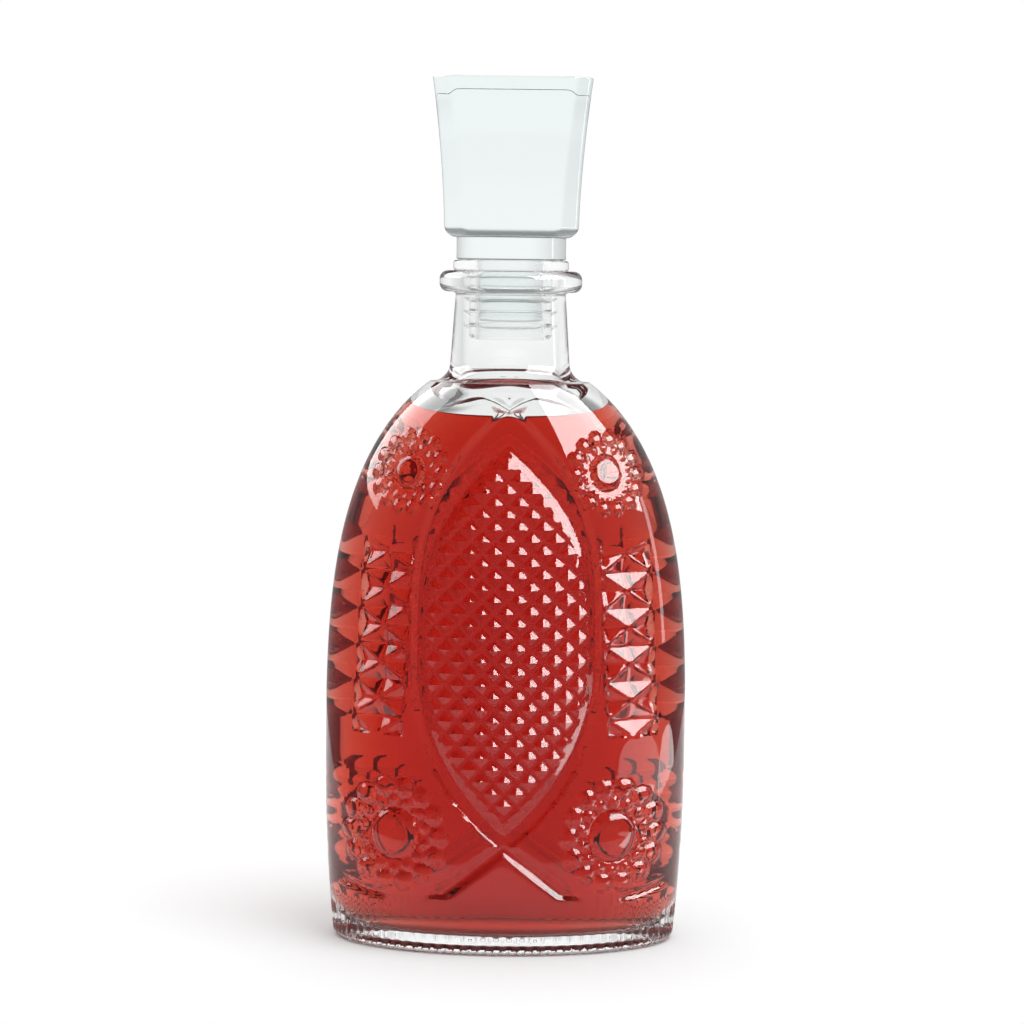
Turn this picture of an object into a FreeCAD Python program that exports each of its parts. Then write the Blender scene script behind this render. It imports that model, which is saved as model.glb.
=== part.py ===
import FreeCAD, Part
import math
import os

from FreeCAD import Vector

# A flattened pressed-glass bottle with its liquid and a stopper in a plastic sleeve.
# Millimetres. The origin is under the middle of the foot, +Z is up and the front faces -Y.

# Body
BASE_WIDTH = 97.4
BASE_DEPTH = 58.6
BELLY_WIDTH = 102.8
BELLY_DEPTH = 64.0
BELLY_HEIGHT = 52.0
SHOULDER_HEIGHT = 159.2
SHOULDER_DIAMETER = 45.4
DOME_POWER = 3.15
HEEL_RADIUS = 2.6
SECTION_COUNT = 14

# Hollow
WALL = 4.0
FLOOR_THICKNESS = 4.6
FLOOR_RADIUS = 5.0
INNER_SHOULDER_DROP = 4.4
INNER_SHOULDER_DIAMETER = 35.0
BORE_DIAMETER = 27.0
BORE_FOOT_HEIGHT = 165.4
FILL_HEIGHT = 149.5
LIQUID_GAP = 0.3

# Neck and lip
NECK_FOOT_DIAMETER = 33.8
NECK_FOOT_HEIGHT = 164.7
NECK_TOP_DIAMETER = 31.2
LIP_DIAMETER = 40.4
LIP_HEIGHT = 6.0
LIP_ROUND = 2.4
LIP_INNER_ROUND = 1.0
BOTTLE_HEIGHT = 190.6

# Hollow under the base
PUNT_DEPTH = 1.6
FOOT_RING = 8.0
PUNT_SLOPE = 3.0

# Pointed oval on the front and back
OVAL_MIDDLE = 89.5
OVAL_RISE = 62.4
OVAL_DROP = 58.5
OVAL_HALF_WIDTH = 24.8
OVAL_POWER = 3.0
GROOVE_WIDTH = 3.0
GROOVE_DEPTH = 0.8
GROOVE_CLEAR = 1.0
GROOVE_BOTTOM = 16.5
GROOVE_TOP = 154.5
GROOVE_SECTIONS = 22
ARM_WIDTH = 2.4
ARM_DEPTH = 0.6

# Diamond points inside the oval
POINT_HALF = 3.32
POINT_RISE = 1.15
POINT_MARGIN = 3.0

# Rosettes
PETAL_COUNT = 12
UPPER_ROSETTE_X = 28.0
UPPER_ROSETTE_Z = 134.3
UPPER_ROSETTE_RADIUS = 11.4
UPPER_BUTTON_RADIUS = 4.8
LOWER_ROSETTE_X = 30.8
LOWER_ROSETTE_Z = 34.0
LOWER_ROSETTE_RADIUS = 15.0
LOWER_BUTTON_RADIUS = 6.2
MOAT_WIDTH = 1.2
PETAL_RISE = 1.0
PETAL_PEAK = 0.55
PETAL_NOTCH = 0.72
BUTTON_RISE = 1.1

# Side columns of mitre cuts
CUT_X = 34.6
CUT_HALF_WIDTH = 6.6
CUT_TOP = 112.6
CUT_PITCH = 10.25
CUT_COUNT = 5
CUT_SPACE = 0.4
CUT_DEPTH = 1.4
CUT_CLEAR = 3.0

# How far raised relief is sunk into the glass, and how far its lowest parts stand out of it
SINK = 1.4
RELIEF_FOOT = 0.2

# Plastic sleeve
FLANGE_DIAMETER = 32.8
FLANGE_THICKNESS = 2.9
FLANGE_ROUND = 0.8
PLUG_LENGTH = 19.6
PLUG_CORE_DIAMETER = 23.6
FIN_COUNT = 3
FIN_PITCH = 4.0
FIN_THICKNESS = 1.5
FIN_FIRST_DROP = 7.6
FIN_CLEARANCE = 0.08
PLUG_CHAMFER = 0.8

# Glass stopper
SHANK_DIAMETER = 18.0
SHANK_LENGTH = 17.4
SHANK_CLEARANCE = 0.08
STEM_DIAMETER = 31.0
STEM_HEIGHT = 6.6
HEAD_HEIGHT = 44.4
HEAD_FOOT_WIDTH = 37.6
HEAD_TOP_WIDTH = 45.0
HEAD_FLARE_POWER = 1.7
HEAD_CORNER_SHARE = 0.22
HEAD_FOOT_ROUND = 2.2
HEAD_TOP_ROUND = 0.9
HEAD_SECTIONS = 7

# Heights worked out from the sizes above
LIP_BOTTOM = BOTTLE_HEIGHT - LIP_HEIGHT
INNER_SHOULDER_HEIGHT = SHOULDER_HEIGHT - INNER_SHOULDER_DROP
FLANGE_TOP = BOTTLE_HEIGHT + FLANGE_THICKNESS
PLUG_BOTTOM = BOTTLE_HEIGHT - PLUG_LENGTH
HEAD_BOTTOM = FLANGE_TOP + STEM_HEIGHT

# A face within this of a mirror plane lies in it
PLANE_LIMIT = 0.001

# Directions
UP = Vector(0, 0, 1)
ORIGIN = Vector(0, 0, 0)
WIDTH_AXIS = Vector(1, 0, 0)
DEPTH_AXIS = Vector(0, 1, 0)


def half_size(z, base, belly, top_radius, top_height):
    """Half the width or depth of the body at height z: a shallow curve below the belly, a dome above it."""
    if z < BELLY_HEIGHT:
        return belly - (belly - base) * ((BELLY_HEIGHT - z) / BELLY_HEIGHT) ** 2
    fall = 1 - (top_radius / belly) ** 2
    reach = (top_height - BELLY_HEIGHT) / fall ** (1 / DOME_POWER)
    return belly * math.sqrt(1 - ((z - BELLY_HEIGHT) / reach) ** DOME_POWER)


def outer_halves(z):
    """Half width and half depth of the glass outside, at height z."""
    width = half_size(z, BASE_WIDTH / 2, BELLY_WIDTH / 2, SHOULDER_DIAMETER / 2, SHOULDER_HEIGHT)
    depth = half_size(z, BASE_DEPTH / 2, BELLY_DEPTH / 2, SHOULDER_DIAMETER / 2, SHOULDER_HEIGHT)
    return width, depth


def inner_halves(z, gap):
    """Half width and half depth of the hollow, drawn in by gap."""
    top = INNER_SHOULDER_DIAMETER / 2
    width = half_size(z, BASE_WIDTH / 2 - WALL, BELLY_WIDTH / 2 - WALL, top, INNER_SHOULDER_HEIGHT)
    depth = half_size(z, BASE_DEPTH / 2 - WALL, BELLY_DEPTH / 2 - WALL, top, INNER_SHOULDER_HEIGHT)
    return width - gap, depth - gap


def oval_wire(z, half_width, half_depth):
    """An ellipse at height z, wide along X."""
    ellipse = Part.Ellipse(Vector(0, 0, z), max(half_width, half_depth), half_depth)
    return Part.Wire(ellipse.toShape())


def oval_loft(bottom, top, halves):
    """A smooth solid through ovals whose halves come from a function of the height."""
    wires = []
    for index in range(SECTION_COUNT + 1):
        share = math.sin(math.pi / 2 * index / SECTION_COUNT)
        z = bottom + (top - bottom) * share
        wires.append(oval_wire(z, *halves(z)))
    return Part.makeLoft(wires, True, False)


def bottom_edges(shape, z):
    """The edges of a shape that lie flat at height z."""
    found = []
    for edge in shape.Edges:
        box = edge.BoundBox
        if abs(box.ZMin - z) < 0.001 and abs(box.ZMax - z) < 0.001:
            found.append(edge)
    return found


def turned(edges):
    """A solid of revolution about Z from a closed outline in the XZ plane."""
    return Part.Face(Part.Wire(edges)).revolve(ORIGIN, UP, 360)


def line(x1, z1, x2, z2):
    """A straight edge in the XZ plane."""
    return Part.makeLine(Vector(x1, 0, z1), Vector(x2, 0, z2))


def bend(x1, z1, xm, zm, x2, z2):
    """A round edge in the XZ plane through a middle point."""
    return Part.Arc(Vector(x1, 0, z1), Vector(xm, 0, zm), Vector(x2, 0, z2)).toShape()


def quarter(centre_x, centre_z, radius, start, end):
    """A round edge about a centre in the XZ plane, between two angles in degrees."""
    points = []
    for angle in (start, (start + end) / 2, end):
        turn = math.radians(angle)
        points += [centre_x + radius * math.cos(turn), centre_z + radius * math.sin(turn)]
    return bend(*points)


def sweep_in(radius, height, foot_radius, foot_height):
    """A round edge that leaves a vertical wall at (radius, height) and ends at a wider foot below."""
    run = foot_radius - radius
    drop = height - foot_height
    curve = (run ** 2 + drop ** 2) / (2 * run)
    end = 180 + math.degrees(math.asin(drop / curve))
    if run > curve:
        end = 360 - math.degrees(math.asin(drop / curve))
    return quarter(radius + curve, height, curve, 180, end)


def neck_outside():
    """The round neck with its lip, from the shoulder up."""
    shoulder = SHOULDER_DIAMETER / 2
    foot = NECK_FOOT_DIAMETER / 2
    neck = NECK_TOP_DIAMETER / 2
    lip = LIP_DIAMETER / 2
    edges = [
        line(0, BOTTLE_HEIGHT, 0, SHOULDER_HEIGHT),
        line(0, SHOULDER_HEIGHT, shoulder, SHOULDER_HEIGHT),
        sweep_in(foot, NECK_FOOT_HEIGHT, shoulder, SHOULDER_HEIGHT),
        line(foot, NECK_FOOT_HEIGHT, neck, LIP_BOTTOM),
        line(neck, LIP_BOTTOM, lip - LIP_ROUND, LIP_BOTTOM),
        quarter(lip - LIP_ROUND, LIP_BOTTOM + LIP_ROUND, LIP_ROUND, -90, 0),
        line(lip, LIP_BOTTOM + LIP_ROUND, lip, BOTTLE_HEIGHT - LIP_ROUND),
        quarter(lip - LIP_ROUND, BOTTLE_HEIGHT - LIP_ROUND, LIP_ROUND, 0, 90),
        line(lip - LIP_ROUND, BOTTLE_HEIGHT, 0, BOTTLE_HEIGHT),
    ]
    return turned(edges)


def neck_inside(gap):
    """The bore of the neck and the flare below it, drawn in by gap."""
    bore = BORE_DIAMETER / 2 - gap
    flare = INNER_SHOULDER_DIAMETER / 2 - gap
    mouth = bore + LIP_INNER_ROUND
    above = BOTTLE_HEIGHT + LIP_HEIGHT
    edges = [
        line(0, above, 0, INNER_SHOULDER_HEIGHT),
        line(0, INNER_SHOULDER_HEIGHT, flare, INNER_SHOULDER_HEIGHT),
        sweep_in(bore, BORE_FOOT_HEIGHT, flare, INNER_SHOULDER_HEIGHT),
        line(bore, BORE_FOOT_HEIGHT, bore, BOTTLE_HEIGHT - LIP_INNER_ROUND),
        quarter(mouth, BOTTLE_HEIGHT - LIP_INNER_ROUND, LIP_INNER_ROUND, 180, 90),
        line(mouth, BOTTLE_HEIGHT, mouth, above),
        line(mouth, above, 0, above),
    ]
    return turned(edges)


def hollow(gap):
    """The room inside the bottle, drawn in by gap."""
    floor = FLOOR_THICKNESS + gap
    room = oval_loft(floor, INNER_SHOULDER_HEIGHT, lambda z: inner_halves(z, gap))
    room = room.makeFillet(FLOOR_RADIUS, bottom_edges(room, floor))
    return room.fuse(neck_inside(gap)).removeSplitter()


def punt():
    """The shallow hollow under the base."""
    width = BASE_WIDTH / 2 - FOOT_RING
    depth = BASE_DEPTH / 2 - FOOT_RING
    below = oval_wire(0, width, depth)
    above = oval_wire(PUNT_DEPTH, width - PUNT_SLOPE, depth - PUNT_SLOPE)
    return Part.makeLoft([below, above], True, True)


def surface_point(x, z, rise):
    """The point over (x, z) on the front of the body, moved out along the surface's normal by rise."""
    width, depth = outer_halves(z)
    y = -depth * math.sqrt(1 - (x / width) ** 2)
    return Vector(x, y, z) + surface_normal(x, y, z) * rise


def surface_normal(x, y, z):
    """The direction straight out of the body at a point on it."""
    step = 0.01
    width, depth = outer_halves(z)
    wide_above, deep_above = outer_halves(z + step)
    width_slope = (wide_above - width) / step
    depth_slope = (deep_above - depth) / step
    tilt = x ** 2 * width_slope / width ** 3 + y ** 2 * depth_slope / depth ** 3
    return Vector(x / width ** 2, y / depth ** 2, -tilt).normalize()


def closed_solid(faces):
    """A solid bounded by faces that meet edge to edge."""
    shell = Part.makeShell(faces)
    shell.sewShape()
    solid = Part.makeSolid(Part.Shell(shell.Faces))
    if solid.Volume < 0:
        solid.reverse()
    return solid


def flat_sided(outlines):
    """A solid with flat faces, from the corners of each."""
    faces = []
    for corners in outlines:
        faces.append(Part.Face(Part.makePolygon(list(corners) + [corners[0]])))
    return closed_solid(faces)


def oval_half_width(z):
    """Half the width of the pointed oval at height z. Past its tips it runs on straight, below 0."""
    reach = OVAL_RISE if z > OVAL_MIDDLE else OVAL_DROP
    share = abs(z - OVAL_MIDDLE) / reach
    if share > 1:
        return OVAL_HALF_WIDTH * OVAL_POWER * (1 - share)
    return OVAL_HALF_WIDTH * (1 - share ** OVAL_POWER)


def point_places():
    """The row and column of each diamond point that lies whole inside the pointed oval."""
    places = []
    rows = int(max(OVAL_RISE, OVAL_DROP) / POINT_HALF)
    columns = int(OVAL_HALF_WIDTH / POINT_HALF)
    for row in range(-rows, rows + 1):
        z = OVAL_MIDDLE + row * POINT_HALF
        tips = min(oval_half_width(z + POINT_HALF), oval_half_width(z - POINT_HALF))
        room = min(tips, oval_half_width(z) - POINT_HALF) - POINT_MARGIN
        for column in range(-columns, columns + 1):
            if (row + column) % 2 == 0 and abs(column) * POINT_HALF <= room:
                places.append((row, column))
    return places


def diamond_points():
    """The field of diamond points on the front, as one solid that is sunk into the glass."""
    borders = {}
    outlines = []

    def node(row, column, rise):
        return surface_point(column * POINT_HALF, OVAL_MIDDLE + row * POINT_HALF, rise)

    for row, column in point_places():
        ring = [(row + 1, column), (row, column + 1), (row - 1, column), (row, column - 1)]
        peak = node(row, column, POINT_RISE)
        floor = node(row, column, -SINK)
        for first, second in zip(ring, ring[1:] + ring[:1]):
            outlines.append((peak, node(*first, RELIEF_FOOT), node(*second, RELIEF_FOOT)))
            outlines.append((floor, node(*first, -SINK), node(*second, -SINK)))
            side = frozenset((first, second))
            borders[side] = borders.get(side, 0) + 1
    for side, count in borders.items():
        if count == 1:
            high = [node(*place, RELIEF_FOOT) for place in sorted(side)]
            low = [node(*place, -SINK) for place in sorted(side)]
            outlines.append((high[0], high[1], low[1]))
            outlines.append((high[0], low[1], low[0]))
    return flat_sided(outlines)


def oval_groove(side, width, depth, top_z):
    """The space of one of the two V-shaped grooves that cross at the tips of the pointed oval."""
    step = 0.01
    reach = width / 2 * (1 + GROOVE_CLEAR / depth)
    wires = []
    for index in range(GROOVE_SECTIONS + 1):
        z = GROOVE_BOTTOM + (top_z - GROOVE_BOTTOM) * index / GROOVE_SECTIONS
        x = side * oval_half_width(z)
        middle = surface_point(x, z, 0)
        ahead = surface_point(side * oval_half_width(z + step), z + step, 0)
        out = surface_normal(middle.x, middle.y, middle.z)
        across = (ahead - middle).cross(out).normalize() * reach
        top = middle + out * GROOVE_CLEAR
        corners = [top - across, middle - out * depth, top + across]
        wires.append(Part.makePolygon(corners + [corners[0]]))
    return Part.makeLoft(wires, True, False)


def local_frame(x, z):
    """The point over (x, z) on the front, with the directions along, up and out of the surface there."""
    middle = surface_point(x, z, 0)
    out = surface_normal(middle.x, middle.y, middle.z)
    along = UP.cross(out).normalize()
    upward = out.cross(along)
    return middle, along, upward, out


def rosette(x, z, radius, button_radius):
    """A rosette sunk into the glass: a button with a ring of pointed petals round it."""
    middle, along, upward, out = local_frame(x, z)
    moat_radius = button_radius + MOAT_WIDTH
    peak_radius = moat_radius + (radius - moat_radius) * PETAL_PEAK
    notch_radius = moat_radius + (radius - moat_radius) * PETAL_NOTCH

    def node(distance, step, rise):
        angle = math.pi * step / PETAL_COUNT
        place = middle + (along * math.cos(angle) + upward * math.sin(angle)) * distance
        return surface_point(place.x, place.z, rise)

    edge = []
    for step in range(2 * PETAL_COUNT):
        distance = notch_radius if step % 2 else radius
        edge.append(node(distance, step, RELIEF_FOOT))
    lowest = min((corner - middle).dot(out) for corner in edge) - SINK
    floor = [corner + out * (lowest - (corner - middle).dot(out)) for corner in edge]
    top = node(0, 0, BUTTON_RISE)
    outlines = [floor]
    for step in range(2 * PETAL_COUNT):
        outlines.append((edge[step - 1], edge[step], floor[step], floor[step - 1]))
    for step in range(0, 2 * PETAL_COUNT, 2):
        after = (step + 1) % (2 * PETAL_COUNT)
        rim = [node(button_radius, near, BUTTON_RISE / 2) for near in (step - 1, step + 1)]
        moat = [node(moat_radius, near, RELIEF_FOOT) for near in (step - 1, step + 1)]
        peak = node(peak_radius, step, PETAL_RISE)
        outlines += [(top, *rim), (rim[0], rim[1], moat[1]), (rim[0], moat[1], moat[0])]
        ring = [moat[0], moat[1], edge[after], edge[step], edge[step - 1]]
        outlines += [(peak, first, second) for first, second in zip(ring, ring[1:] + ring[:1])]
    return flat_sided(outlines)


def mitre_cut(x, z, half_width, half_height):
    """The space of one V-shaped cut: a rhombus on the surface with its valley along the middle."""
    left = surface_point(x - half_width, z, -CUT_DEPTH)
    right = surface_point(x + half_width, z, -CUT_DEPTH)
    top = surface_point(x, z + half_height, 0)
    bottom = surface_point(x, z - half_height, 0)
    middle = surface_point(x, z, 0)
    out = surface_normal(middle.x, middle.y, middle.z) * CUT_CLEAR
    ring = [top, right, bottom, left]
    triangles = [(left, right, top), (left, right, bottom)]
    triangles += [(left + out, right + out, top + out), (left + out, right + out, bottom + out)]
    for first, second in zip(ring, ring[1:] + ring[:1]):
        triangles.append((first, second, second + out))
        triangles.append((first, second + out, first + out))
    return flat_sided(triangles)


def side_cuts():
    """A column of mitre cuts between the pointed oval and the side of the bottle."""
    cuts = []
    for index in range(CUT_COUNT):
        z = CUT_TOP - CUT_PITCH * (index + 0.5)
        cuts.append(mitre_cut(CUT_X, z, CUT_HALF_WIDTH, (CUT_PITCH - CUT_SPACE) / 2))
    return cuts


def raised_relief():
    """All that is raised on the right half of the front."""
    upper = rosette(UPPER_ROSETTE_X, UPPER_ROSETTE_Z, UPPER_ROSETTE_RADIUS, UPPER_BUTTON_RADIUS)
    lower = rosette(LOWER_ROSETTE_X, LOWER_ROSETTE_Z, LOWER_ROSETTE_RADIUS, LOWER_BUTTON_RADIUS)
    points = diamond_points().common(right_front())
    return [points, upper, lower]


def cut_relief():
    """All that is cut into the right half of the front."""
    groove = oval_groove(1, GROOVE_WIDTH, GROOVE_DEPTH, GROOVE_TOP)
    arm = oval_groove(-1, ARM_WIDTH, ARM_DEPTH, OVAL_MIDDLE)
    return [groove, arm] + side_cuts()


def right_front():
    """The quarter of space on the right of the front."""
    size = BOTTLE_HEIGHT + BELLY_WIDTH
    return Part.makeBox(size, size, size, Vector(0, -size, -1))


def mirrored_whole(quarter_shape):
    """The whole solid from its quarter on the right of the front, joined along the two mirror planes."""
    faces = []
    for face in quarter_shape.Faces:
        box = face.BoundBox
        on_plane = box.XMax < PLANE_LIMIT or box.YMin > -PLANE_LIMIT
        if not on_plane:
            faces.append(face)
    for normal in (WIDTH_AXIS, DEPTH_AXIS):
        faces += [face.mirror(ORIGIN, normal) for face in faces]
    return closed_solid(faces)


def make_bottle():
    """The glass bottle. The quarter on the right of the front is made once and mirrored."""
    body = oval_loft(0, SHOULDER_HEIGHT, outer_halves)
    body = body.makeFillet(HEEL_RADIUS, bottom_edges(body, 0))
    body = body.fuse(neck_outside())
    body = body.cut([hollow(0), punt()])
    quarter_body = body.common(right_front())
    for solid in raised_relief():
        quarter_body = quarter_body.fuse(solid)
    for space in cut_relief():
        quarter_body = quarter_body.cut(space)
    return mirrored_whole(quarter_body)


def make_liquid():
    """The liquid, up to its level."""
    size = 2 * BELLY_WIDTH
    below = Part.makeBox(size, size, FILL_HEIGHT, Vector(-size / 2, -size / 2, 0))
    return hollow(LIQUID_GAP).common(below)


def make_seal():
    """The plastic sleeve: a flange, a plug and its fins, with a bore for the shank."""
    bore = SHANK_DIAMETER / 2 + SHANK_CLEARANCE
    core = PLUG_CORE_DIAMETER / 2
    fin = BORE_DIAMETER / 2 - FIN_CLEARANCE
    flange = FLANGE_DIAMETER / 2
    sleeve = Part.makeCylinder(core, PLUG_LENGTH, Vector(0, 0, PLUG_BOTTOM))
    sleeve = sleeve.makeChamfer(PLUG_CHAMFER, bottom_edges(sleeve, PLUG_BOTTOM))
    top = Part.makeCylinder(flange, FLANGE_THICKNESS, Vector(0, 0, BOTTLE_HEIGHT))
    top = top.makeFillet(FLANGE_ROUND, bottom_edges(top, BOTTLE_HEIGHT) + bottom_edges(top, FLANGE_TOP))
    sleeve = sleeve.fuse(top)
    for index in range(FIN_COUNT):
        z = BOTTLE_HEIGHT - FIN_FIRST_DROP - FIN_PITCH * index
        taper = Part.makeCone(core - PLUG_CHAMFER, fin, FIN_THICKNESS, Vector(0, 0, z - FIN_THICKNESS))
        sleeve = sleeve.fuse(taper)
    hole = Part.makeCylinder(bore, PLUG_LENGTH + FLANGE_THICKNESS, Vector(0, 0, PLUG_BOTTOM))
    return sleeve.cut(hole).removeSplitter()


def head_half_width(z):
    """Half the width across the flats of the stopper's head at height z."""
    share = max(0, (z - HEAD_BOTTOM) / HEAD_HEIGHT)
    return HEAD_FOOT_WIDTH / 2 + (HEAD_TOP_WIDTH - HEAD_FOOT_WIDTH) / 2 * share ** HEAD_FLARE_POWER


def head_wire(z):
    """The square section of the head with its corners cut off."""
    flat = head_half_width(z)
    corner = flat * (1 - HEAD_CORNER_SHARE)
    points = []
    for turn in range(4):
        cos, sin = round(math.cos(turn * math.pi / 2)), round(math.sin(turn * math.pi / 2))
        for across in (-corner, corner):
            points.append(Vector(cos * flat - sin * across, sin * flat + cos * across, z))
    return Part.makePolygon(points + [points[0]])


def make_stopper():
    """The glass stopper: an eight-sided flared head, a round stem and a shank."""
    heights = [HEAD_BOTTOM + HEAD_HEIGHT * index / HEAD_SECTIONS for index in range(HEAD_SECTIONS + 1)]
    head = Part.makeLoft([head_wire(z) for z in heights], True, False)
    head_top = HEAD_BOTTOM + HEAD_HEIGHT
    head = head.makeFillet(HEAD_FOOT_ROUND, bottom_edges(head, HEAD_BOTTOM))
    head = head.makeFillet(HEAD_TOP_ROUND, bottom_edges(head, head_top))
    stem = Part.makeCylinder(STEM_DIAMETER / 2, STEM_HEIGHT, Vector(0, 0, FLANGE_TOP))
    shank = Part.makeCylinder(SHANK_DIAMETER / 2, SHANK_LENGTH, Vector(0, 0, FLANGE_TOP - SHANK_LENGTH))
    return head.fuse([stem, shank]).removeSplitter()


def save(shape, node):
    """Writes one piece as a STEP file."""
    solids = shape.Solids
    print(node, "solids", len(solids), "valid", shape.isValid(), "cm3", round(shape.Volume / 1000, 2))
    solids[0].exportStep("parts/" + node + ".step")


os.makedirs("parts", exist_ok=True)
save(make_liquid(), "liquid_fill")
save(make_seal(), "seal_sleeve")
save(make_stopper(), "stopper")
save(make_bottle(), "bottle")
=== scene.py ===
import math

import bpy
import numpy as np
from mathutils import Matrix, Vector


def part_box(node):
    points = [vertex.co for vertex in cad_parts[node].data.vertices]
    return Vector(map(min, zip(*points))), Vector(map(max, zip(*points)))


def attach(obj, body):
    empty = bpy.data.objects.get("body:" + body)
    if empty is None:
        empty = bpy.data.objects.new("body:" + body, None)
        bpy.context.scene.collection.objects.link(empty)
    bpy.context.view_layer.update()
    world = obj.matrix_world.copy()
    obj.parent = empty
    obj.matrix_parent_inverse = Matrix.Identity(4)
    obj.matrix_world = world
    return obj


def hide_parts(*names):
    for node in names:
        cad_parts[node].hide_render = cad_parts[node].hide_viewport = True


# A flattened pressed-glass bottle of red liquid with its stopper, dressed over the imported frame.
# Metres. +Z is up and the front faces -Y.

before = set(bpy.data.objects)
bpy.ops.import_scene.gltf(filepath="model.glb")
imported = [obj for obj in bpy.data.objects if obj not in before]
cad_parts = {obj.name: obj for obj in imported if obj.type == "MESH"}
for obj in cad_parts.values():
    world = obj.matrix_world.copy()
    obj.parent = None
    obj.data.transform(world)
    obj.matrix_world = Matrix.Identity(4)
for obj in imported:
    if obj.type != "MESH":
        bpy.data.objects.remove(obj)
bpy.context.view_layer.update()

MM = 0.001

# Sizes read from the frame
BOTTLE_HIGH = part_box("bottle")[1]
LIQUID_LOW, LIQUID_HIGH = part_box("liquid_fill")
SLEEVE_LOW, SLEEVE_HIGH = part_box("seal_sleeve")
STOPPER_LOW, STOPPER_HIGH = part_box("stopper")

# Body of the bottle
RELIEF_ROOM = 1.15 * MM
BELLY_HALF_WIDTH = BOTTLE_HIGH.x
BELLY_HALF_DEPTH = BOTTLE_HIGH.y - RELIEF_ROOM
BASE_INSET = 2.7 * MM
BELLY_HEIGHT = 52.0 * MM
SHOULDER_HEIGHT = 159.2 * MM
SHOULDER_RADIUS = 22.7 * MM
DOME_POWER = 3.15
HEEL_RADIUS = 2.6 * MM
PUNT_DEPTH = 1.6 * MM
FOOT_RING = 8.0 * MM
PUNT_SLOPE = 3.0 * MM

# Hollow of the bottle
WALL = 4.0 * MM
LIQUID_GAP = 0.3 * MM
FLOOR_HEIGHT = LIQUID_LOW.z - LIQUID_GAP
FLOOR_CURVE = 7.0 * MM
INNER_SHOULDER_HEIGHT = 154.8 * MM
INNER_SHOULDER_RADIUS = 17.5 * MM
BORE_RADIUS = 13.5 * MM
BORE_FOOT_HEIGHT = 165.4 * MM

# Neck and lip
NECK_FOOT_RADIUS = 16.9 * MM
NECK_FOOT_HEIGHT = 164.7 * MM
NECK_TOP_RADIUS = 15.6 * MM
LIP_TOP = BOTTLE_HIGH.z
LIP_RADIUS = 20.2 * MM
LIP_HEIGHT = 6.0 * MM
LIP_BOTTOM = LIP_TOP - LIP_HEIGHT
LIP_ROUND = 2.4 * MM
LIP_INNER_ROUND = 1.0 * MM
LIP_CORNER = 0.9 * MM

# Pointed oval with a step along it, the grooves past its tips, and the field of points inside it
OVAL_MIDDLE = 89.5 * MM
OVAL_RISE = 62.4 * MM
OVAL_DROP = 58.5 * MM
OVAL_HALF_WIDTH = 24.8 * MM
OVAL_POWER = 3.0
STEP_WIDTH = 1.2 * MM
ARM_HALF = 2.2 * MM
ARM_DEPTH = 1.3 * MM
ARM_END = 0.6 * MM
GROOVE_ROUND = 0.35 * MM
GROOVE_TOP = 154.0 * MM
ARM_FOOT = 16.5 * MM
FIELD_MIDDLE = 88.0 * MM
FIELD_HALF_HEIGHT = 51.0 * MM
FIELD_HALF_WIDTH = 22.9 * MM
FIELD_POWER = 2.5
POINT_HALF = 3.32 * MM
POINT_RISE = 1.1 * MM
POINT_POWER = 1.35
BEVEL_SLOPE = 0.5
RECESS = 1.0 * MM

# Swag under each lower rosette
SWAG_LOW = 16.3 * MM
SWAG_START = 32.0 * MM
SWAG_END = 47.0 * MM
SWAG_LIFT = 3.0 * MM
SWAG_HALF = 1.5 * MM
SWAG_DEPTH = 0.8 * MM

# Side columns of mitre cuts
CUT_MIDDLE = 34.2 * MM
CUT_SLANT = -0.06
CUT_HALF_WIDTH = 7.1 * MM
CUT_TOP = 112.6 * MM
CUT_PITCH = 10.25 * MM
CUT_COUNT = 5
CUT_DEPTH = 1.9 * MM
CUT_ROUND = 0.5 * MM
CUT_EDGE = 0.8 * MM
# Each set of cuts: how far it is moved across, how far down in pitches, and the pitch where it starts
CUT_SETS = ((0, 0.5, 0), (CUT_HALF_WIDTH, 0, -0.5), (-CUT_HALF_WIDTH, 0, -0.5))

# Rosettes: place across and up, radius, then the button's radius, rise and how flat it is
PETAL_COUNT = 14
UPPER_ROSETTE = (27.2 * MM, 134.6 * MM, 12.2 * MM, 4.7 * MM, 0.95 * MM, 6)
LOWER_ROSETTE = (30.6 * MM, 33.6 * MM, 16.3 * MM, 7.2 * MM, 2.0 * MM, 2)
PETAL_PLACE = 0.83
PETAL_HALF_LENGTH = 0.175
PETAL_FULLNESS = 0.94
PETAL_RISE = 0.95 * MM
DROP_POWER = 0.6
BEAD_PLACE = 0.61
BEAD_HALF = 0.085
BEAD_RISE = 0.6 * MM
MOAT_WIDTH = 0.9 * MM
MOAT_DEPTH = 0.4 * MM

# Flutes at the heel and the knurled foot
FLUTE_COUNT = 84
FLUTE_RISE = 0.45 * MM
FLUTE_TOP = 15.0 * MM
FLUTE_FADE = 6.0 * MM
FLUTE_FRONT = 25.0 * MM
HEEL_FLUTE_TOP = 6.0 * MM
KNURL_RISE = 0.35 * MM
KNURL_FADE_ROWS = 2

# Meniscus of the liquid
MENISCUS_RISE = 0.9 * MM
MENISCUS_REACH = 1.3 * MM
MENISCUS_INSETS = (0.3 * MM, 0.7 * MM, 1.2 * MM, 1.9 * MM, 3.0 * MM, 5.0 * MM, 9.0 * MM, 14.0 * MM)
LIQUID_LEVEL = LIQUID_HIGH.z - MENISCUS_RISE / 2

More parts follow.
